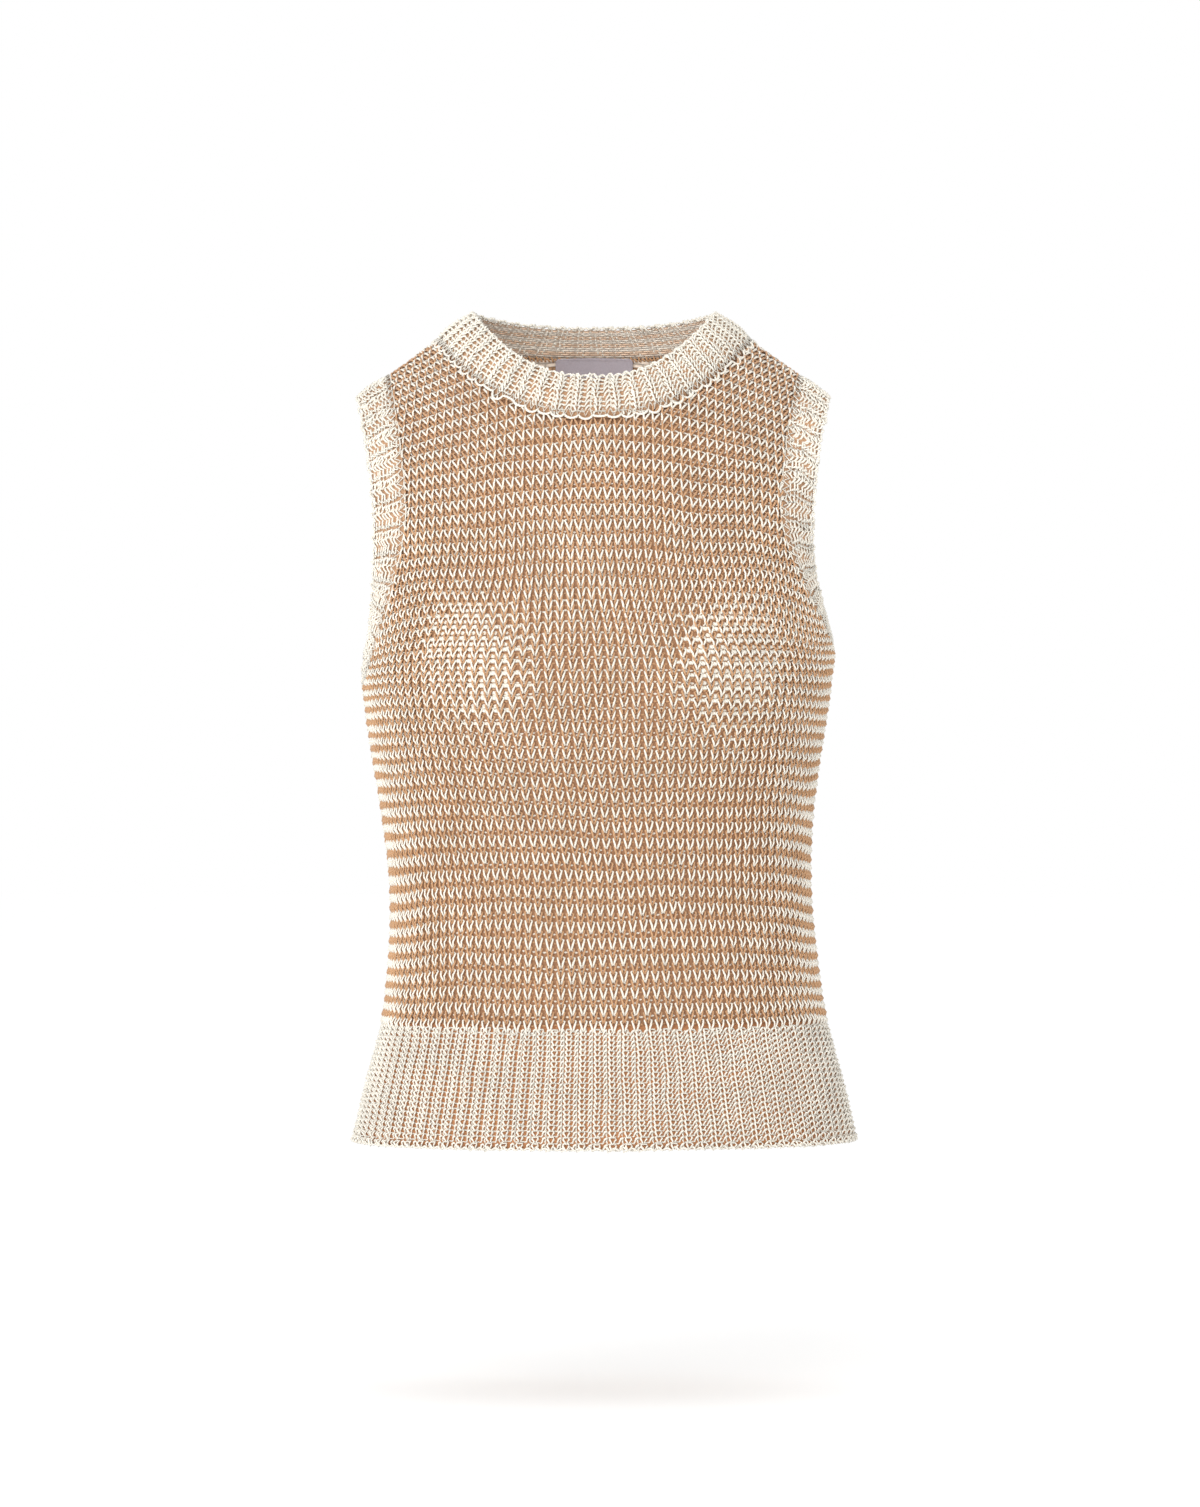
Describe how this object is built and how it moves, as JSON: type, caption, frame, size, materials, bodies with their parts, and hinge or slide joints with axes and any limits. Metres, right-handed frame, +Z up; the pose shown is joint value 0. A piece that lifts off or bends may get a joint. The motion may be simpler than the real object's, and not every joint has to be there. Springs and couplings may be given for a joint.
{
  "type": "knit tank top",
  "caption": "Sleeveless crew-neck knit tank top in its worn, hollow form: striped open stockinette body, ribbed neckband, armbands and flared hem.",
  "frame": {"origin": "midway between the two shoulder straps, at the height where they rest on the wearer's shoulders, 0.470 m above the hem edge", "axes": "+Z up, the front faces -Y, the wearer's left is +X"},
  "size_m": [0.3044, 0.2355, 0.497],
  "materials": {
    "tan_yarn": "matt cotton yarn, plied",
    "cream_yarn": "matt cotton yarn, plied, slightly lustrous",
    "satin": "satin ribbon"
  },
  "bodies": {
    "root": {"front_panel": "tan_yarn", "back_panel": "tan_yarn", "front_hem_rib": "cream_yarn", "back_hem_rib": "cream_yarn", "neckband": "cream_yarn", "left_armband": "cream_yarn", "right_armband": "cream_yarn", "neck_label": "satin"}
  },
  "joints": []
}
